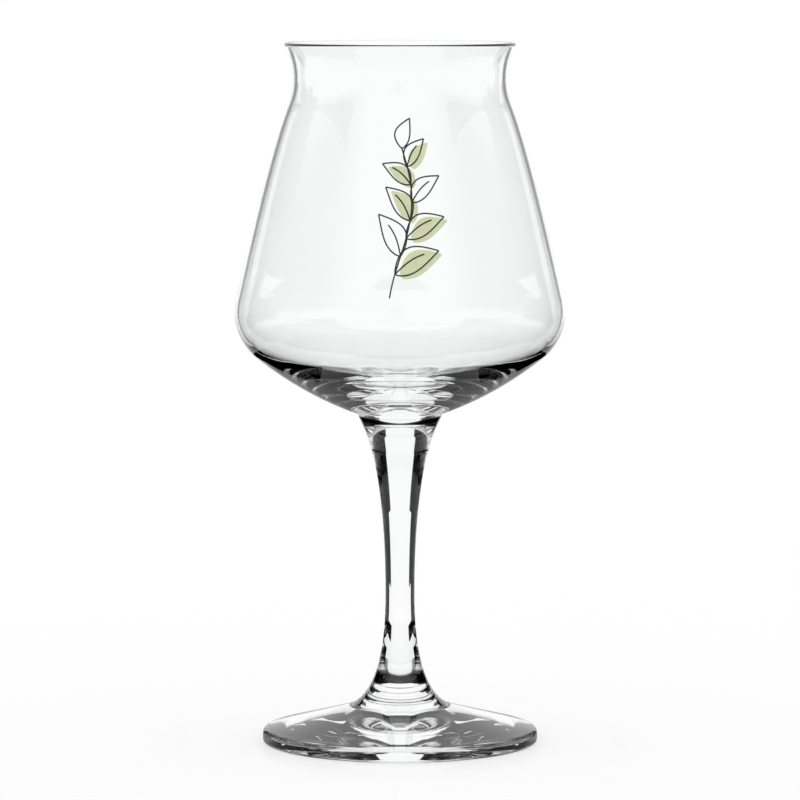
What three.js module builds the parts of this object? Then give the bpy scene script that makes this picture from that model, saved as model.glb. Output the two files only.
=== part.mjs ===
// Stemmed tasting glass: a blown bowl with a flared rim, a drawn stem and a spun foot, fused in one line.
// Millimetres, +Z up. The origin is the centre of the foot's resting ring, on the table.
import * as THREE from 'three';

const degree = Math.PI / 180;

// Heights, stacked from the table up
const footHeight = 10.05;             // table to the seam under the stem
const stemLength = 82.35;             // foot seam to bowl seam
const bowlHeight = 103.5;             // bowl seam to rim

// Bowl
const rimRadius = 32.2;               // outside of the flared lip
const neckRadius = 29.75;             // outside, where the mouth is drawn in
const neckDrop = 9.95;                // rim down to the neck
const bellyRadius = 46.1;             // outside, at the widest
const bellyRise = 28.3;               // bowl seam up to the widest
const bellyCurve = 16;                // radius of the bend at the widest
const undersideCurve = 98;            // radius of the underside's long curve
const bowAtNeck = 6.6 * degree;       // how far the neck's bend turns out past a straight side
const bowAtBelly = 2.2 * degree;      // how much steeper than a straight side the belly is met
const wall = 1.1;                     // blown wall, from the lip down to the belly
const floorThickness = 5.05;          // glass between the bowl's floor and its seam
const floorCurve = 14;                // radius of the inner bend from the side into the floor

// Stem
const stemTopRadius = 12.03;          // at the bowl seam
const taperAngle = 29.6 * degree;     // slope of the stem's side at the bowl seam, from the vertical
const waistRadius = 4.07;             // the thinnest place
const waistRise = 31.36;              // foot seam up to the thinnest place
const flareRadius = 14.2;             // at the foot seam
const flareAngle = 23.3 * degree;     // slope of the flare at the foot seam, from the horizontal

// Foot
const footRadius = 38.55;
const edgeThickness = 3.9;            // height of the foot's edge
const edgeTopRound = 1.6;
const edgeBottomRound = 0.9;
const filletReach = 1.55;             // how far the flare's slope runs on before the cone takes over
const ringWidth = 6;                  // flat ring that the glass stands on
const underRise = 2.75;               // height of the hollow under the foot, at its middle

// Facets
const turnSteps = 48;
const longSteps = 7;                  // along a gentle curve
const bendSteps = 6;                  // round a bend
const roundSteps = 4;                 // round a lip or an edge
const stemSteps = 9;                  // along each half of the stem

// Heights and centres that the pieces share
const bowlSeam = footHeight + stemLength;
const rimHeight = bowlSeam + bowlHeight;
const stemTop = point(stemTopRadius, bowlSeam);
const stemFoot = point(flareRadius, footHeight);

// A place on the half section: distance from the axis, and height.
function point(radius, height) {
  return new THREE.Vector2(radius, height);
}

// The direction at an angle from straight out, turning up.
function heading(angle) {
  return point(Math.cos(angle), Math.sin(angle));
}

// The place at a distance from a start, along a direction.
function beyond(start, direction, distance) {
  return start.clone().addScaledVector(direction, distance);
}

// Round stretch about a centre, from one angle to another.
function arc(centre, radius, from, to, steps) {
  return new THREE.EllipseCurve(centre.x, centre.y, radius, radius, from, to, to < from).getPoints(steps);
}

// Smooth stretch that leaves start and reaches end along two given directions.
function sweep(start, startWay, end, endWay, steps) {
  const gap = end.clone().sub(start);
  const run = gap.cross(endWay) / startWay.cross(endWay);
  const corner = beyond(start, startWay, run);
  return new THREE.QuadraticBezierCurve(start, corner, end).getPoints(steps);
}

// Solid of revolution about the axis, from a half section that runs up its outside.
function turned(name, section, colour) {
  const distinct = section.filter((place, i) => i === 0 || place.distanceTo(section[i - 1]) > 1e-6);
  const geometry = new THREE.LatheGeometry(distinct, turnSteps).rotateX(Math.PI / 2);
  const glass = new THREE.MeshStandardMaterial({
    color: colour, roughness: 0.03, metalness: 0, transparent: true, opacity: 0.35,
  });
  const mesh = new THREE.Mesh(geometry, glass);
  mesh.name = name;
  return mesh;
}

// The bowl's side is one wall with an outer and an inner skin, so both skins share these two centres:
// the neck bends about a centre outside the glass, and the belly about one inside it.
const lipCentre = point(rimRadius - wall / 2, rimHeight - wall / 2);
const neckMiddle = point(neckRadius - wall / 2, rimHeight - neckDrop);
const lipOffset = lipCentre.clone().sub(neckMiddle);
const neckCurve = lipOffset.lengthSq() / (2 * lipOffset.x);
const neckCentre = beyond(neckMiddle, heading(0), neckCurve);
const lipAngle = Math.asin(lipOffset.y / neckCurve);
const bellyCentre = point(bellyRadius - bellyCurve, bowlSeam + bellyRise);

// Lean of the straight line that would touch both bends, from the vertical.
const betweenBends = bellyCentre.clone().sub(neckCentre);
const bendsTogether = neckCurve + bellyCurve - wall / 2;
const sideLean = Math.atan2(betweenBends.x, -betweenBends.y)
  + Math.asin(bendsTogether / betweenBends.length());

// One skin of the side from the belly up to the lip, given how far it lies inside the outer skin.
function sideSkin(inset, bellyFrom) {
  const neckBend = neckCurve - wall / 2 + inset;
  const bellyBend = bellyCurve - inset;
  const neckTurn = sideLean + bowAtNeck;
  const bellyTurn = sideLean - bowAtBelly;
  const sideFoot = beyond(bellyCentre, heading(bellyTurn), bellyBend);
  const sideTop = beyond(neckCentre, heading(Math.PI + neckTurn), neckBend);
  const upFromBelly = heading(bellyTurn + Math.PI / 2);
  const upToNeck = heading(neckTurn + Math.PI / 2);
  return [
    ...arc(bellyCentre, bellyBend, bellyFrom, bellyTurn, bendSteps),
    ...sweep(sideFoot, upFromBelly, sideTop, upToNeck, longSteps),
    ...arc(neckCentre, neckBend, Math.PI + neckTurn, Math.PI - lipAngle, bendSteps),
  ];
}

// Centre of the underside's curve: it touches the belly's bend from outside and passes the bowl seam.
function undersideCentre() {
  const towardsSeam = stemTop.clone().sub(bellyCentre);
  const distance = towardsSeam.length();
  const fromBelly = undersideCurve - bellyCurve;
  const along = (fromBelly ** 2 - undersideCurve ** 2 + distance ** 2) / (2 * distance);
  const aside = Math.sqrt(fromBelly ** 2 - along ** 2);
  const way = towardsSeam.normalize();
  return beyond(beyond(bellyCentre, way, along), point(way.y, -way.x), aside);
}

function bowlSection() {
  const under = undersideCentre();
  const atSeam = stemTop.clone().sub(under).angle() - 2 * Math.PI;
  const atBelly = bellyCentre.clone().sub(under).angle() - 2 * Math.PI;
  // The floor is a shallow dish centred on the axis. A bend of its own joins it to the belly's inner skin.
  const floor = point(0, bowlSeam + floorThickness);
  const corner = beyond(bellyCentre, heading(0), bellyCurve - wall - floorCurve);
  const cornerAbove = corner.y - floor.y;
  const dishCurve = (corner.x ** 2 + cornerAbove ** 2 - floorCurve ** 2) / (2 * (cornerAbove - floorCurve));
  const dishCentre = beyond(floor, heading(Math.PI / 2), dishCurve);
  const dishAngle = corner.clone().sub(dishCentre).angle() - 2 * Math.PI;
  return [
    point(0, bowlSeam),
    ...arc(under, undersideCurve, atSeam, atBelly, longSteps),
    ...sideSkin(0, atBelly),
    ...arc(lipCentre, wall / 2, -lipAngle, Math.PI - lipAngle, roundSteps),
    ...sideSkin(wall, 0).reverse(),
    ...arc(corner, floorCurve, 0, dishAngle, bendSteps),
    ...arc(dishCentre, dishCurve, dishAngle, -Math.PI / 2, longSteps).slice(0, -1),
    floor,
  ];
}

function stemSection() {
  const waist = point(waistRadius, footHeight + waistRise);
  const straightUp = heading(Math.PI / 2);
  const flareWay = heading(Math.PI - flareAngle);
  const taperWay = heading(Math.PI / 2 - taperAngle);
  return [
    point(0, footHeight),
    ...sweep(stemFoot, flareWay, waist, straightUp, stemSteps),
    ...sweep(waist, straightUp, stemTop, taperWay, stemSteps),
    point(0, bowlSeam),
  ];
}

function footSection() {
  const ringOuter = footRadius - edgeBottomRound;
  const ringInner = ringOuter - ringWidth;
  // Shallow hollow under the foot, a dish centred on the axis.
  const hollowCurve = (ringInner ** 2 + underRise ** 2) / (2 * underRise);
  const hollowCentre = point(0, underRise - hollowCurve);
  const hollowEdge = point(ringInner, 0).sub(hollowCentre).angle();
  const edgeBottom = point(ringOuter, edgeBottomRound);
  const edgeTop = point(footRadius - edgeTopRound, edgeThickness - edgeTopRound);
  // The cone leaves the end of the flare's slope and touches the round of the foot's edge.
  const coneTop = beyond(stemFoot, heading(-flareAngle), filletReach);
  const toEdge = edgeTop.clone().sub(coneTop);
  const coneWay = Math.atan2(toEdge.y, toEdge.x) + Math.asin(edgeTopRound / toEdge.length());
  const coneFoot = beyond(edgeTop, heading(coneWay + Math.PI / 2), edgeTopRound);
  return [
    point(0, underRise),
    ...arc(hollowCentre, hollowCurve, Math.PI / 2, hollowEdge, longSteps).slice(1, -1),
    point(ringInner, 0),
    point(ringOuter, 0),
    ...arc(edgeBottom, edgeBottomRound, -Math.PI / 2, 0, roundSteps).slice(1),
    ...arc(edgeTop, edgeTopRound, 0, coneWay + Math.PI / 2, roundSteps),
    ...new THREE.QuadraticBezierCurve(coneFoot, coneTop, stemFoot).getPoints(longSteps),
    point(0, footHeight),
  ];
}

const glass = new THREE.Group();
glass.add(turned('bowl', bowlSection(), 0xeceef1));
glass.add(turned('stem', stemSection(), 0xe4e7ea));
glass.add(turned('foot', footSection(), 0xdfe3e6));

export default glass;
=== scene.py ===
import math
import bpy
import numpy as np
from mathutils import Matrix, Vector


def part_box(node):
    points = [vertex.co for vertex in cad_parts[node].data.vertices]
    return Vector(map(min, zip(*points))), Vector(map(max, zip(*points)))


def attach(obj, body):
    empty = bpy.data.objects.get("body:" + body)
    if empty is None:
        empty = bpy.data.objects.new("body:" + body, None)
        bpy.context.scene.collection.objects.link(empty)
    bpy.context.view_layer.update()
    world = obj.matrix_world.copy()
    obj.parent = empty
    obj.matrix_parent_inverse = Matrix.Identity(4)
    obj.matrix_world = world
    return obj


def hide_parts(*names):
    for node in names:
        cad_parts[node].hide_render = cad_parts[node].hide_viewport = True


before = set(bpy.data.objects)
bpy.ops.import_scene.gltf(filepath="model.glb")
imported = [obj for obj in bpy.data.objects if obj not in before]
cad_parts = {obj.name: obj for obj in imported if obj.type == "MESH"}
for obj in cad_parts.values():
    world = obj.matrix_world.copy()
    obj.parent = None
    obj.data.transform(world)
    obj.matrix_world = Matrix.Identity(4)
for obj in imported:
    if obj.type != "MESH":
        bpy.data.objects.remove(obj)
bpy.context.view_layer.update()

# Shapes are worked out in millimetres, as half sections: a complex number holds radius + height j.
MM = 0.001
DEGREE = math.pi / 180

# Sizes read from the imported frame
bowl_low, bowl_high = (np.array(corner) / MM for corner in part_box("bowl"))
_, stem_high = (np.array(corner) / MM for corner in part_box("stem"))
_, foot_high = (np.array(corner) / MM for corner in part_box("foot"))
RIM_HEIGHT = bowl_high[2]
BELLY_RADIUS = bowl_high[0]
BOWL_SEAM = bowl_low[2]
FOOT_SEAM = foot_high[2]
FLARE_RADIUS = stem_high[0]
FOOT_RADIUS = foot_high[0]

# Bowl
RIM_RADIUS = 32.2
NECK_RADIUS = 29.75
NECK_DROP = 9.95
BELLY_RISE = 28.3
BELLY_CURVE = 16.0
UNDERSIDE_CURVE = 98.0
BOW_AT_NECK = 6.6 * DEGREE
BOW_AT_BELLY = 2.2 * DEGREE
WALL = 1.1
FLOOR_THICKNESS = 5.05
FLOOR_CURVE = 14.0

# Stem
STEM_TOP_RADIUS = 12.03
TAPER_ANGLE = 29.6 * DEGREE
WAIST_RADIUS = 4.07
WAIST_RISE = 31.36
FLARE_ANGLE = 23.3 * DEGREE

# Foot
EDGE_THICKNESS = 3.9
EDGE_TOP_ROUND = 1.6
EDGE_BOTTOM_ROUND = 0.9
FILLET_REACH = 1.55
RING_WIDTH = 6.0
UNDER_RISE = 2.75

# Wave of the blown surface
WAVE_LENGTH = 24.0
WAVE_HEIGHT = 0.012

# Printed sprig, on the front of the bowl
SPRIG_LOW = 128.0
SPRIG_RISE = 40.0
SPRIG_SWAY = 3.2
SWAY_START, SWAY_TURN = -0.35, 1.3
LEAF_COUNT = 7
FIRST_LEAF, LEAF_STEP = 0.16, 0.12
LEAF_LENGTH = 13.5
LEAF_HALF = 3.3
LEAF_SHRINK = 0.06
LEAF_BEND = 0.10
LEAF_FULLNESS = 0.8
LEAF_OPENING = 46 * DEGREE
TIP_SIZE = 0.62
TIP_LEAN = 0.25
LINE_WIDTH = 0.4
LEAF_SHIFT = 1.3 - 0.9j

# Enamel films: inner and outer face above the glass, how deep light goes in, and the ink's finish
LEAF_FILM = (0.015, 0.04)
LINE_FILM = (0.045, 0.07)
FILM_DEPTH = 0.1
ENAMEL_ROUGHNESS = (0.35, 0.5)
LINE_GRAIN, LEAF_GRAIN = 0.3, 0.6

# Fineness of the surfaces
TURN_STEPS = 256
CURVE_STEPS = 40
LIP_STEPS = 12
STALK_POINTS = 60
LEAF_POINTS = 25
RIB_POINTS = 18
FILL_POINTS = 9


def linear(hex_colour):
    """Linear RGBA of an sRGB hex colour, by the sRGB curve."""
    s = np.array([int(hex_colour[i:i + 2], 16) for i in (1, 3, 5)]) / 255
    rgb = np.where(s <= 0.04045, s / 12.92, ((s + 0.055) / 1.055) ** 2.4)
    return (*rgb.tolist(), 1.0)


def add_node(tree, kind, settings=None, **inputs):
    """Add a node, set its properties, and set each named input to a value or link it to a socket."""
    node = tree.nodes.new(kind)
    for key, value in (settings or {}).items():
        setattr(node, key, value)
    for key, value in inputs.items():
        socket = node.inputs[int(key[1:])] if key[0] == "i" and key[1:].isdigit() else node.inputs[key]
        if isinstance(value, bpy.types.NodeSocket):
            tree.links.new(value, socket)
        else:
            socket.default_value = value
    return node


def new_material(name):
    """An empty node material and its output node."""
    material = bpy.data.materials.new(name)
    material.use_nodes = True
    material.node_tree.nodes.clear()
    output = material.node_tree.nodes.new("ShaderNodeOutputMaterial")
    return material, material.node_tree, output


# Half sections


def heading(angle):
    """Unit direction at an angle from straight out, turning up."""
    return np.exp(1j * angle)


def arc(centre, radius, start, stop, steps=CURVE_STEPS):
    """Points of a circle about centre, at equal angles from start to stop."""
    return centre + radius * heading(np.linspace(start, stop, steps + 1))


def parabola(start, corner, end, steps=CURVE_STEPS):
    """Points of the quadratic curve from start to end whose end tangents meet at corner."""
    t = np.linspace(0, 1, steps + 1)
    return (1 - t) ** 2 * start + 2 * t * (1 - t) * corner + t ** 2 * end


def cross(a, b):
    """Signed area spanned by two directions."""
    return (a.conjugate() * b).imag


def sweep(start, start_way, end, end_way, steps=CURVE_STEPS):
    """Parabola from start to end that leaves and arrives along two given directions."""
    run = cross(end - start, end_way) / cross(start_way, end_way)
    return parabola(start, start + run * start_way, end, steps)


STEM_TOP = STEM_TOP_RADIUS + 1j * BOWL_SEAM
STEM_FOOT = FLARE_RADIUS + 1j * FOOT_SEAM
UP = heading(math.pi / 2)


def bowl_sections():
    """Half section of the bowl, from the seam up the outside, over the lip and down to the floor.

    The side is a wall of one thickness: the neck bends about a centre outside the glass and the belly about
    one inside it, so both skins are concentric arcs joined by a parabola. The underside is one long arc that
    touches the belly's bend, and the floor is an arc centred on the axis that touches the inner skin.
    """
    lip = RIM_RADIUS - WALL / 2 + 1j * (RIM_HEIGHT - WALL / 2)
    neck = NECK_RADIUS - WALL / 2 + 1j * (RIM_HEIGHT - NECK_DROP)
    rise = lip - neck
    neck_curve = abs(rise) ** 2 / (2 * rise.real)
    neck_centre = neck + neck_curve
    lip_angle = math.asin(rise.imag / neck_curve)
    belly_centre = BELLY_RADIUS - BELLY_CURVE + 1j * (BOWL_SEAM + BELLY_RISE)
    between = belly_centre - neck_centre
    lean = math.atan2(between.real, -between.imag)
    lean += math.asin((neck_curve + BELLY_CURVE - WALL / 2) / abs(between))
    neck_turn = lean + BOW_AT_NECK
    belly_turn = lean - BOW_AT_BELLY

    def skin(inset, belly_start):
        neck_bend = neck_curve - WALL / 2 + inset
        belly_bend = BELLY_CURVE - inset
        side_foot = belly_centre + belly_bend * heading(belly_turn)
        side_top = neck_centre + neck_bend * heading(math.pi + neck_turn)
        return np.concatenate([
            arc(belly_centre, belly_bend, belly_start, belly_turn),
            sweep(side_foot, heading(belly_turn) * 1j, side_top, heading(neck_turn) * 1j)[1:],
            arc(neck_centre, neck_bend, math.pi + neck_turn, math.pi - lip_angle)[1:],
        ])

    to_seam = STEM_TOP - belly_centre
    from_belly = UNDERSIDE_CURVE - BELLY_CURVE
    along = (from_belly ** 2 - UNDERSIDE_CURVE ** 2 + abs(to_seam) ** 2) / (2 * abs(to_seam))
    aside = math.sqrt(from_belly ** 2 - along ** 2)
    under_centre = belly_centre + to_seam / abs(to_seam) * (along - 1j * aside)
    at_seam = np.angle(STEM_TOP - under_centre)
    at_belly = np.angle(belly_centre - under_centre)

    floor = 1j * (BOWL_SEAM + FLOOR_THICKNESS)
    corner = belly_centre + BELLY_CURVE - WALL - FLOOR_CURVE
    above = corner.imag - floor.imag
    dish_curve = (corner.real ** 2 + above ** 2 - FLOOR_CURVE ** 2) / (2 * (above - FLOOR_CURVE))
    dish_centre = floor + 1j * dish_curve
    dish_angle = np.angle(corner - dish_centre)

    seam = np.array([1j * BOWL_SEAM, STEM_TOP])
    outside = np.concatenate([arc(under_centre, UNDERSIDE_CURVE, at_seam, at_belly), skin(0, at_belly)[1:]])
    round_lip = arc(lip, WALL / 2, -lip_angle, math.pi - lip_angle, LIP_STEPS)
    inside = np.concatenate([
        skin(WALL, 0)[::-1],
        arc(corner, FLOOR_CURVE, 0, dish_angle)[1:],
        arc(dish_centre, dish_curve, dish_angle, -math.pi / 2)[1:],
    ])
    return seam, outside, round_lip, inside


def stem_sections():
    """Half section of the stem: a flare and a taper, two parabolas that meet upright at the waist."""
    waist = WAIST_RADIUS + 1j * (FOOT_SEAM + WAIST_RISE)
    lower = np.array([1j * FOOT_SEAM, STEM_FOOT])
    upper = np.array([STEM_TOP, 1j * BOWL_SEAM])
    side = np.concatenate([
        sweep(STEM_FOOT, heading(math.pi - FLARE_ANGLE), waist, UP),
        sweep(waist, UP, STEM_TOP, heading(math.pi / 2 - TAPER_ANGLE))[1:],
    ])
    return lower, side, upper


def foot_sections():
    """Half section of the foot: hollow, resting ring, rounded edge, and a cone that runs into the flare."""
    ring_outer = FOOT_RADIUS - EDGE_BOTTOM_ROUND
    ring_inner = ring_outer - RING_WIDTH
    hollow_curve = (ring_inner ** 2 + UNDER_RISE ** 2) / (2 * UNDER_RISE)
    hollow_centre = 1j * (UNDER_RISE - hollow_curve)
    hollow_edge = np.angle(ring_inner - hollow_centre)
    edge_bottom = ring_outer + 1j * EDGE_BOTTOM_ROUND
    edge_top = FOOT_RADIUS - EDGE_TOP_ROUND + 1j * (EDGE_THICKNESS - EDGE_TOP_ROUND)
    cone_top = STEM_FOOT + FILLET_REACH * heading(-FLARE_ANGLE)
    to_edge = edge_top - cone_top
    cone_way = np.angle(to_edge) + math.asin(EDGE_TOP_ROUND / abs(to_edge))
    cone_foot = edge_top + EDGE_TOP_ROUND * heading(cone_way + math.pi / 2)
    underside = arc(hollow_centre, hollow_curve, math.pi / 2, hollow_edge)
    edge = np.concatenate([
        arc(edge_bottom, EDGE_BOTTOM_ROUND, -math.pi / 2, 0, LIP_STEPS),
        arc(edge_top, EDGE_TOP_ROUND, 0, cone_way + math.pi / 2, LIP_STEPS),
        parabola(cone_foot, cone_top, STEM_FOOT)[1:],
    ])
    seam = np.array([STEM_FOOT, 1j * FOOT_SEAM])
    return underside, edge, seam


# Meshes


def turned(name, sections, seams):
    """Closed solid of revolution: each section point is turned about the axis at equal angles.

    The first and last points lie on the axis and become single poles. Faces of the sections listed in seams
    take the second material slot and stay flat.
    """
    points = np.concatenate([sections[0]] + [part[1:] for part in sections[1:]])
    owner = np.concatenate([np.full(len(part) - 1, k) for k, part in enumerate(sections)])
    ring = points[1:-1]
    angle = np.arange(TURN_STEPS) * 2 * math.pi / TURN_STEPS
    x = np.outer(ring.real, np.cos(angle))
    y = np.outer(ring.real, np.sin(angle))
    z = np.outer(ring.imag, np.ones(TURN_STEPS))
    poles = np.array([[0, 0, points[0].imag], [0, 0, points[-1].imag]])
    vertices = np.concatenate([np.stack([x, y, z], -1).reshape(-1, 3), poles]) * MM
    here = np.arange(TURN_STEPS)
    after = (here + 1) % TURN_STEPS
    row = np.arange(len(ring) - 1)[:, None] * TURN_STEPS
    quads = np.stack([row + here, row + after, row + after + TURN_STEPS, row + here + TURN_STEPS], -1)
    top_row = (len(ring) - 1) * TURN_STEPS
    bottom_pole = len(ring) * TURN_STEPS
    bottom_fan = np.stack([np.full(TURN_STEPS, bottom_pole), after, here], -1)
    top_fan = np.stack([np.full(TURN_STEPS, bottom_pole + 1), top_row + here, top_row + after], -1)
    faces = bottom_fan.tolist() + quads.reshape(-1, 4).tolist() + top_fan.tolist()
    face_owner = np.repeat(owner, TURN_STEPS)
    flat = np.isin(face_owner, seams)
    mesh = bpy.data.meshes.new(name)
    mesh.from_pydata(vertices.tolist(), [], faces)
    mesh.polygons.foreach_set("material_index", flat.astype(np.int32))
    mesh.polygons.foreach_set("use_smooth", ~flat)
    mesh.update()
    obj = bpy.data.objects.new(name, mesh)
    bpy.context.collection.objects.link(obj)
    return obj


# Materials


def clear_glass(name):
    """Soda-lime glass, fire-polished: the eye gets sharp clear edges, a faint wave and a trace of tint."""
    material, tree, output = new_material(name)
    place = add_node(tree, "ShaderNodeTexCoord")
    wave = add_node(tree, "ShaderNodeTexNoise", None, Vector=place.outputs["Object"],
                    **{"Scale": 1 / (WAVE_LENGTH * MM), "Detail": 1.0, "Roughness": 0.3})
    skin = add_node(tree, "ShaderNodeBump", None,
                    Strength=1.0, Distance=WAVE_HEIGHT * MM, Height=wave.outputs[0])
    tint = add_node(tree, "ShaderNodeMix", {"data_type": "RGBA"}, i0=wave.outputs[0],
                    i6=linear("#FFFFFF"), i7=linear("#FBFDFC"))
    shader = add_node(tree, "ShaderNodeBsdfPrincipled", None, **{
        "Base Color": tint.outputs[2], "Roughness": 0.0, "IOR": 1.52, "Transmission Weight": 1.0,
        "Normal": skin.outputs[0],
    })
    tree.links.new(shader.outputs[0], output.inputs["Surface"])
    return material


def fired_enamel(name, deep, pale, grain):
    """Screen-printed enamel, fired on: a satin film whose ink varies a little from grain to grain."""
    material, tree, output = new_material(name)
    place = add_node(tree, "ShaderNodeTexCoord")
    ink = add_node(tree, "ShaderNodeTexNoise", None, Vector=place.outputs["Object"],
                   **{"Scale": 1 / (grain * MM), "Detail": 2.0, "Roughness": 0.5})
    colour = add_node(tree, "ShaderNodeMix", {"data_type": "RGBA"},
                      i0=ink.outputs[0], i6=linear(deep), i7=linear(pale))
    sheen = add_node(tree, "ShaderNodeMapRange", None, Value=ink.outputs[0],
                     **{"To Min": ENAMEL_ROUGHNESS[0], "To Max": ENAMEL_ROUGHNESS[1]})
    shader = add_node(tree, "ShaderNodeBsdfPrincipled", None, **{
        "Base Color": colour.outputs[2], "Roughness": sheen.outputs[0], "IOR": 1.5,
        "Subsurface Weight": 1.0, "Subsurface Radius": (1, 1, 1), "Subsurface Scale": FILM_DEPTH * MM,
    })
    tree.links.new(shader.outputs[0], output.inputs["Surface"])
    return material


def fused_seam():
    """The plane inside the glass where two pieces were fused: nothing is left of it to see."""
    material, tree, output = new_material("fused_seam")
    shader = add_node(tree, "ShaderNodeBsdfPrincipled", None, **{"Alpha": 0.0, "IOR": 1.0})
    tree.links.new(shader.outputs[0], output.inputs["Surface"])
    return material


seam_glass = fused_seam()
bowl = turned("bowl_visual", bowl_sections(), [0])
stem = turned("stem_visual", stem_sections(), [0, 2])
foot = turned("foot_visual", foot_sections(), [2])
for piece, node in ((bowl, "bowl"), (stem, "stem"), (foot, "foot")):
    piece.data.materials.append(clear_glass(node + "_clear_glass"))
    piece.data.materials.append(seam_glass)
    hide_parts(node)
    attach(piece, "root")


# Print

# Outer skin of the bowl above its underside
SKIN = bowl_sections()[1][CURVE_STEPS + 1:]


def on_bowl(across, up, out):
    """Place on the bowl's front, from millimetres along its girth, up its axis and out from its skin."""
    radius = np.interp(up, SKIN.imag, SKIN.real)
    angle = across / radius - math.pi / 2
    return np.stack([(radius + out) * np.cos(angle), (radius + out) * np.sin(angle), up], -1) * MM


def printed(name, patches, film):
    """Closed thin films on the bowl: each patch, a grid of places across + up j, is laid at two heights."""
    vertices, faces = [], []
    for patch in patches:
        lower = len(vertices) + np.arange(patch.size).reshape(patch.shape)
        upper = lower + patch.size
        for out in film:
            vertices += on_bowl(patch.real, patch.imag, out).reshape(-1, 3).tolist()
        around = np.concatenate([lower[0, :-1], lower[:-1, -1], lower[-1, :0:-1], lower[:0:-1, 0]])
        ahead = np.roll(around, -1)
        top = np.stack([upper[:-1, :-1], upper[:-1, 1:], upper[1:, 1:], upper[1:, :-1]], -1).reshape(-1, 4)
        below = np.stack([lower[:-1, :-1], lower[1:, :-1], lower[1:, 1:], lower[:-1, 1:]], -1).reshape(-1, 4)
        walls = np.stack([around, ahead, ahead + patch.size, around + patch.size], -1)
        faces += top.tolist() + below.tolist() + walls.tolist()
    mesh = bpy.data.meshes.new(name)
    mesh.from_pydata(vertices, [], faces)
    mesh.update()
    obj = bpy.data.objects.new(name, mesh)
    bpy.context.collection.objects.link(obj)
    return obj


def ribbon(path):
    """Grid of a line of even width: each place of the path, half a width to its left and to its right."""
    way = np.gradient(path)
    right = -1j * way / abs(way) * LINE_WIDTH / 2
    return np.stack([path - right, path + right], -1)


def twig(t):
    """Place on the sprig's stalk at share t: a straight rise with a sine sway."""
    return SPRIG_SWAY * np.sin(math.pi * (SWAY_TURN * t + SWAY_START)) + 1j * (SPRIG_LOW + SPRIG_RISE * t)


def leaf(root, way, length, half):
    """Left edge, midrib and right edge of a leaf: sines give the midrib's bend and the half width."""
    s = np.linspace(0, 1, LEAF_POINTS)
    rib = root + way * length * (s + 1j * LEAF_BEND * np.sin(math.pi * s) * np.sign(way.real))
    spread = 1j * way * half * np.sin(math.pi * s ** LEAF_FULLNESS)
    return rib + spread, rib, rib - spread


# Leaves stand by turns at the right and the left. Two of each three are filled, a little out of register.
lines, fills = [ribbon(twig(np.linspace(0, 1, STALK_POINTS)))], []
for k in range(LEAF_COUNT):
    t = FIRST_LEAF + LEAF_STEP * k
    size = 1 - LEAF_SHRINK * k
    ahead = twig(t + 0.01) - twig(t)
    way = ahead / abs(ahead) * heading(LEAF_OPENING if k % 2 else -LEAF_OPENING)
    left, rib, right = leaf(twig(t), way, LEAF_LENGTH * size, LEAF_HALF * size)
    lines += [ribbon(left), ribbon(right), ribbon(rib[:RIB_POINTS])]
    if k % 3 != 1:
        across = np.linspace(0, 1, FILL_POINTS)
        field = left[1:-1, None] * (1 - across) + right[1:-1, None] * across
        fills.append(field + LEAF_SHIFT)
way = heading(math.pi / 2 - TIP_LEAN)
left, _, right = leaf(twig(1.0), way, LEAF_LENGTH * TIP_SIZE, LEAF_HALF * TIP_SIZE)
lines += [ribbon(left), ribbon(right)]
line_print = printed("sprig_line_print", lines, LINE_FILM)
leaf_print = printed("sprig_leaf_print", fills, LEAF_FILM)
line_print.data.materials.append(fired_enamel("black_line_enamel", "#151617", "#232426", LINE_GRAIN))
leaf_print.data.materials.append(fired_enamel("sage_leaf_enamel", "#D3DCA8", "#DDE4B9", LEAF_GRAIN))
for piece, slot in ((line_print, "line_enamel"), (leaf_print, "leaf_enamel")):
    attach(piece, "root")


# Studio

# Camera, in millimetres in front of the glass's axis and above the table
CAMERA_DISTANCE = 1356.0
CAMERA_HEIGHT = 226.9
CAMERA_PITCH = 5.507 * DEGREE
CAMERA_LENS = 219.3

# Black cards beside the glass, in metres along the camera's axes: across, up, and ahead of it
CARD_GAP = 0.064
CARD_NEAR, CARD_NEAR_FULL = 1.29, 1.37
CARD_LOW, CARD_MID = -0.5, -0.005
CARD_FAR_EDGE = [
    (-0.005, 1.51), (-0.02, 1.475), (-0.04, 1.463), (-0.06, 1.458), (-0.1, 1.455), (CARD_LOW, 1.455),
]
TALL_FAR, TALL_TOP, TALL_FADE = 1.41, 0.05, 0.02
WING_FAR, WING_FAR_X, WING_FAR_TOP = 1.67, 0.185, 0.12

# Black flags behind the glass, along the same axes
FLAG_AHEAD = 1.67
FLAG_INNER, FLAG_CUT, FLAG_OUTER = 0.115, 0.165, 0.22
FLAG_LOW, FLAG_MID, FLAG_TOP = 0.03, 0.09, 0.2
LOW_FLAG_INNER, LOW_FLAG_OUTER = 0.16, 0.5
LOW_FLAG_LOW, LOW_FLAG_TOP = -0.09, 0.03

# Lit screens at the sides, at the back and behind the camera, along the same axes
SIDE_LOW = 0.05
SIDE_NEAR, SIDE_NEAR_X, SIDE_NEAR_TOP = 0.6, 0.9, 0.55
SIDE_FAR, SIDE_FAR_X, SIDE_FAR_TOP = 2.2, 0.66, 0.35
BACK_AHEAD, BACK_HALF = 2.4, 0.42
BACK_LOW, BACK_TOP = -0.05, 0.5
TOWER_HALF, TOWER_TOP = 0.35, 1.3
FRONT_AHEAD, FRONT_HALF = -0.2, 2.0
FRONT_LOW, FRONT_TOP = -0.3, 2.5

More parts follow.
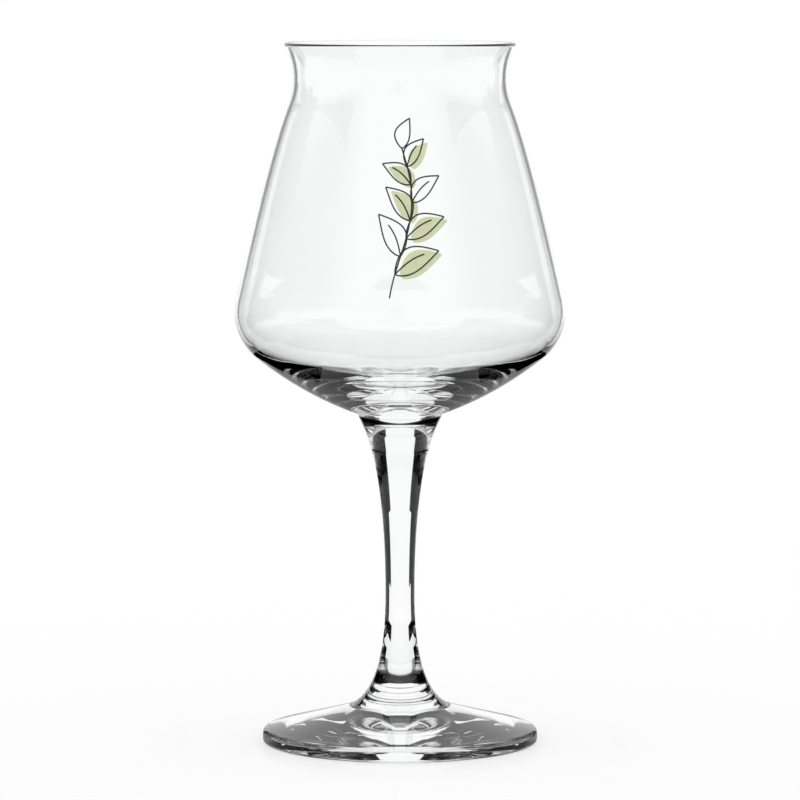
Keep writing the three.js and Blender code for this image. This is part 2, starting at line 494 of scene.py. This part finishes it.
# Black cards behind the foot, and a lit screen under the board that the glass sees through it as a painted
# pool of light behind the stem, in metres along the glass's axes
FOOT_CARD_INNER, FOOT_CARD_AWAY, FOOT_CARD_TOP = 0.033, 0.08, 0.012
UNDER_DROP = 0.1
UNDER_NEAR, UNDER_HALF_NEAR = 0.045, 0.032
UNDER_FAR, UNDER_HALF_FAR = 1.0, 0.48

# White board, in metres from the glass's axis
BOARD_REACH, BOARD_DROP = 60.0, 0.00005
BOARD_GLOW = 0.6
BOARD_SHINE, BOARD_ROUGHNESS = 0.06, 0.12
POLISH_FULL, POLISH_END = 0.044, 0.07
# Painted shade: the board's glow in the glass's reflections, from this grey near the glass up to white from
# DIM_NEAR to DIM_FAR
BOARD_SHADE_IN_REFLECTIONS = 0.35
DIM_NEAR, DIM_FAR = 0.25, 0.6
# Painted shadow of the foot: holes in the board, open only to rays through the glass, dark under and round
# the foot apart from a lit strip behind the stem
SHADE_HOLE_REACH = 0.045
SHADE_RING_IN, SHADE_RING_OUT = 0.0386, 0.065
LIT_STRIP_SLOPE = 0.72

# Brightness of the sky as seen through the glass, beyond every screen
SKY_IN_GLASS = 0.02

camera_data = bpy.data.cameras.new("camera")
camera_data.lens = CAMERA_LENS
camera = bpy.data.objects.new("camera", camera_data)
camera.location = (0, -CAMERA_DISTANCE * MM, CAMERA_HEIGHT * MM)
camera.rotation_euler = (math.pi / 2 - CAMERA_PITCH, 0, 0)
bpy.context.collection.objects.link(camera)
bpy.context.scene.camera = camera


def sheet(name, corners, material):
    """One flat sheet through its corners."""
    mesh = bpy.data.meshes.new(name)
    mesh.from_pydata(corners, [], [tuple(range(len(corners)))])
    mesh.materials.append(material)
    obj = bpy.data.objects.new(name, mesh)
    bpy.context.collection.objects.link(obj)
    return obj


def screen(name, corners, material, in_reflections=False):
    """A sheet that the camera carries with it and that is seen in the glass alone."""
    obj = sheet(name, corners, material)
    obj.parent = camera
    obj.visible_camera = False
    obj.visible_diffuse = False
    obj.visible_shadow = False
    obj.visible_glossy = in_reflections


def upright(left, right, low, top, ahead):
    """Corners of a screen that stands square to the camera."""
    return [(left, low, -ahead), (right, low, -ahead), (right, top, -ahead), (left, top, -ahead)]


def beside_camera(x, y, z):
    """Place in the camera's own axes of a point given in the glass's axes, for the camera's first stand."""
    ahead, rise = y + CAMERA_DISTANCE * MM, z - CAMERA_HEIGHT * MM
    tilt = CAMERA_PITCH
    return x, ahead * math.sin(tilt) + rise * math.cos(tilt), rise * math.sin(tilt) - ahead * math.cos(tilt)


def white_board():
    """Matt white board: plain white, faintly polished round the foot, and with painted shade near the glass:
    a grey glow in the glass's reflections.

    Rays that come through the glass find it open in a disc under the foot, and in a ring round the foot
    apart from a strip behind the stem.
    They pass on to the lit screen below and the dark beside it, so the glass shows a painted shadow of the
    foot on the board, with a painted pool of light behind the stem.
    """
    material, tree, output = new_material("white_floor")
    path = add_node(tree, "ShaderNodeLightPath")
    eye = path.outputs["Is Camera Ray"]
    through = path.outputs["Is Transmission Ray"]
    place = add_node(tree, "ShaderNodeTexCoord").outputs["Object"]
    reach = add_node(tree, "ShaderNodeVectorMath", {"operation": "LENGTH"}, i0=place).outputs["Value"]

    glossy = path.outputs["Is Glossy Ray"]
    seen = add_node(tree, "ShaderNodeMath", {"operation": "MAXIMUM"}, i0=eye, i1=glossy)
    seen = add_node(tree, "ShaderNodeMath", {"operation": "MAXIMUM"}, i0=seen.outputs[0], i1=through)
    share = add_node(tree, "ShaderNodeMath", {"operation": "MULTIPLY"}, i0=seen.outputs[0], i1=BOARD_GLOW)
    paint = add_node(tree, "ShaderNodeBsdfDiffuse", None, Color=linear("#FFFFFF"))
    glow = add_node(tree, "ShaderNodeEmission", None, Color=linear("#FFFFFF"), Strength=1.0)
    lit = add_node(tree, "ShaderNodeMixShader", None,
                   i0=share.outputs[0], i1=paint.outputs[0], i2=glow.outputs[0])

    polish = add_node(tree, "ShaderNodeMapRange", {"interpolation_type": "SMOOTHSTEP"}, Value=reach, **{
        "From Min": POLISH_FULL, "From Max": POLISH_END, "To Min": BOARD_SHINE, "To Max": 0.0,
    })
    shine = add_node(tree, "ShaderNodeMath", {"operation": "MULTIPLY"}, i0=eye, i1=polish.outputs[0])
    sheen = add_node(tree, "ShaderNodeBsdfGlossy", None, Color=linear("#FFFFFF"), Roughness=BOARD_ROUGHNESS)
    lit = add_node(tree, "ShaderNodeMixShader", None,
                   i0=shine.outputs[0], i1=lit.outputs[0], i2=sheen.outputs[0])

    # Painted shade: near the glass, rays reflected off the glass see the board as a grey glow, not lit white
    reflected_shade = add_node(tree, "ShaderNodeMapRange", {"interpolation_type": "SMOOTHSTEP"}, Value=reach, **{
        "From Min": DIM_NEAR, "From Max": DIM_FAR, "To Min": BOARD_SHADE_IN_REFLECTIONS, "To Max": 1.0,
    })
    grey = add_node(tree, "ShaderNodeEmission", None, Color=linear("#FFFFFF"), Strength=reflected_shade.outputs[0])
    bounced = add_node(tree, "ShaderNodeMath", {"operation": "SUBTRACT", "use_clamp": True},
                       i0=glossy, i1=through)
    lit = add_node(tree, "ShaderNodeMixShader", None,
                   i0=bounced.outputs[0], i1=lit.outputs[0], i2=grey.outputs[0])

    # Painted shadow of the foot, seen through the glass: here the board opens onto the dark sky and the lit
    # screen below
    disc = add_node(tree, "ShaderNodeMath", {"operation": "LESS_THAN"}, i0=reach, i1=SHADE_HOLE_REACH)
    ring = add_node(tree, "ShaderNodeMath", {"operation": "COMPARE"},
                    i0=reach, i1=(SHADE_RING_IN + SHADE_RING_OUT) / 2, i2=(SHADE_RING_OUT - SHADE_RING_IN) / 2)
    way = add_node(tree, "ShaderNodeSeparateXYZ", None, Vector=place)
    across = add_node(tree, "ShaderNodeMath", {"operation": "ABSOLUTE"}, i0=way.outputs["X"])
    strip = add_node(tree, "ShaderNodeMath", {"operation": "MULTIPLY"}, i0=way.outputs["Y"], i1=LIT_STRIP_SLOPE)
    aside = add_node(tree, "ShaderNodeMath", {"operation": "GREATER_THAN"},
                     i0=across.outputs[0], i1=strip.outputs[0])
    ring = add_node(tree, "ShaderNodeMath", {"operation": "MULTIPLY"},
                    i0=ring.outputs[0], i1=aside.outputs[0])
    shade_holes = add_node(tree, "ShaderNodeMath", {"operation": "MAXIMUM"},
                      i0=disc.outputs[0], i1=ring.outputs[0])
    shade_opening = add_node(tree, "ShaderNodeMath", {"operation": "MULTIPLY"}, i0=shade_holes.outputs[0], i1=through)
    clear = add_node(tree, "ShaderNodeBsdfTransparent")
    mix = add_node(tree, "ShaderNodeMixShader", None,
                   i0=shade_opening.outputs[0], i1=lit.outputs[0], i2=clear.outputs[0])
    tree.links.new(mix.outputs[0], output.inputs["Surface"])
    return material


def black_card():
    """Matt black card whose near and top edges fade out, so that no hard edge shows in the glass."""
    material, tree, output = new_material("black_card")
    place = add_node(tree, "ShaderNodeTexCoord")
    way = add_node(tree, "ShaderNodeSeparateXYZ", None, Vector=place.outputs["Object"])
    smooth = {"interpolation_type": "SMOOTHSTEP"}
    back = add_node(tree, "ShaderNodeMapRange", smooth, Value=way.outputs["Z"], **{
        "From Min": -CARD_NEAR, "From Max": -CARD_NEAR_FULL, "To Min": 0.0, "To Max": 1.0,
    })
    below = add_node(tree, "ShaderNodeMapRange", smooth, Value=way.outputs["Y"], **{
        "From Min": TALL_FADE, "From Max": TALL_TOP, "To Min": 1.0, "To Max": 0.0,
    })
    solid = add_node(tree, "ShaderNodeMath", {"operation": "MULTIPLY"},
                     i0=back.outputs[0], i1=below.outputs[0])
    clear = add_node(tree, "ShaderNodeBsdfTransparent")
    card = add_node(tree, "ShaderNodeEmission", None, Color=linear("#000000"), Strength=0.0)
    mix = add_node(tree, "ShaderNodeMixShader", None,
                   i0=solid.outputs[0], i1=clear.outputs[0], i2=card.outputs[0])
    tree.links.new(mix.outputs[0], output.inputs["Surface"])
    return material


def even_glow(name, strength):
    """One even brightness all over, as of a matt black flag at 0 or a lit white screen at 1."""
    material, tree, output = new_material(name)
    glow = add_node(tree, "ShaderNodeEmission", None, Color=linear("#FFFFFF"), Strength=strength)
    tree.links.new(glow.outputs[0], output.inputs["Surface"])
    return material


def studio_sky():
    """Even white, except through the glass, where only the lit screens and the board show white."""
    world = bpy.data.worlds.new("studio_sky")
    world.use_nodes = True
    tree = world.node_tree
    tree.nodes.clear()
    path = add_node(tree, "ShaderNodeLightPath")
    level = add_node(tree, "ShaderNodeMix", {"data_type": "FLOAT"},
                     Factor=path.outputs["Is Transmission Ray"], A=1.0, B=SKY_IN_GLASS)
    sky = add_node(tree, "ShaderNodeBackground", None, Color=linear("#FFFFFF"), Strength=level.outputs[0])
    output = tree.nodes.new("ShaderNodeOutputWorld")
    tree.links.new(sky.outputs[0], output.inputs["Surface"])
    return world


reach = BOARD_REACH
board = [(-reach, -reach), (reach, -reach), (reach, reach), (-reach, reach)]
sheet("floor", [(x, y, -BOARD_DROP) for x, y in board], white_board())

card_black = black_card()
flag_black = even_glow("black_flag", 0.0)
side_white = even_glow("white_side", 1.0)
for side, name in ((-1, "left"), (1, "right")):
    gap = side * CARD_GAP
    low_card = [(gap, CARD_LOW, -CARD_NEAR), (gap, CARD_MID, -CARD_NEAR)]
    low_card += [(gap, rise, -ahead) for rise, ahead in CARD_FAR_EDGE]
    screen("low_card_" + name, low_card, card_black, in_reflections=True)
    screen("tall_card_" + name, [
        (gap, CARD_MID, -CARD_NEAR), (gap, TALL_TOP, -CARD_NEAR),
        (gap, TALL_TOP, -TALL_FAR), (gap, CARD_MID, -TALL_FAR),
    ], card_black)
    wing = side * WING_FAR_X
    screen("wing_card_" + name, [
        (gap, CARD_MID, -TALL_FAR), (wing, CARD_MID, -WING_FAR),
        (wing, WING_FAR_TOP, -WING_FAR), (gap, TALL_TOP, -TALL_FAR),
    ], flag_black)
    inner, cut, outer = side * FLAG_INNER, side * FLAG_CUT, side * FLAG_OUTER
    screen("flag_" + name, [
        (cut, FLAG_LOW, -FLAG_AHEAD), (outer, FLAG_LOW, -FLAG_AHEAD), (outer, FLAG_TOP, -FLAG_AHEAD),
        (inner, FLAG_TOP, -FLAG_AHEAD), (inner, FLAG_MID, -FLAG_AHEAD),
    ], flag_black)
    inner, outer = side * LOW_FLAG_INNER, side * LOW_FLAG_OUTER
    screen("low_flag_" + name, upright(inner, outer, LOW_FLAG_LOW, LOW_FLAG_TOP, FLAG_AHEAD), flag_black)
    near_x, far_x = side * SIDE_NEAR_X, side * SIDE_FAR_X
    screen("side_light_" + name, [
        (near_x, SIDE_LOW, -SIDE_NEAR), (far_x, SIDE_LOW, -SIDE_FAR),
        (far_x, SIDE_FAR_TOP, -SIDE_FAR), (near_x, SIDE_NEAR_TOP, -SIDE_NEAR),
    ], side_white)
    inner, outer = side * FOOT_CARD_INNER, side * CARD_GAP
    foot_card = [(inner, 0), (outer, 0), (outer, FOOT_CARD_TOP), (inner, FOOT_CARD_TOP)]
    screen("foot_card_" + name, [beside_camera(x, FOOT_CARD_AWAY, z) for x, z in foot_card], flag_black)

screen("backdrop", [
    (-BACK_HALF, BACK_LOW, -BACK_AHEAD), (BACK_HALF, BACK_LOW, -BACK_AHEAD),
    (BACK_HALF, BACK_TOP, -BACK_AHEAD), (TOWER_HALF, BACK_TOP, -BACK_AHEAD),
    (TOWER_HALF, TOWER_TOP, -BACK_AHEAD), (-TOWER_HALF, TOWER_TOP, -BACK_AHEAD),
    (-TOWER_HALF, BACK_TOP, -BACK_AHEAD), (-BACK_HALF, BACK_TOP, -BACK_AHEAD),
], even_glow("white_backdrop", 1.0))
screen("front_light", upright(-FRONT_HALF, FRONT_HALF, FRONT_LOW, FRONT_TOP, FRONT_AHEAD),
       even_glow("white_front", 1.0))
# Painted pool of light: a lit screen under the board, seen through its holes behind the stem
under_light = [
    (-UNDER_HALF_NEAR, UNDER_NEAR), (UNDER_HALF_NEAR, UNDER_NEAR),
    (UNDER_HALF_FAR, UNDER_FAR), (-UNDER_HALF_FAR, UNDER_FAR),
]
screen("under_light", [beside_camera(x, y, -UNDER_DROP) for x, y in under_light],
       even_glow("painted_light_pool", 1.0))

scene = bpy.context.scene
scene.world = studio_sky()
scene.view_settings.view_transform = "Standard"
scene.cycles.max_bounces = 32
scene.cycles.transmission_bounces = 32
scene.cycles.glossy_bounces = 16
scene.cycles.transparent_max_bounces = 32
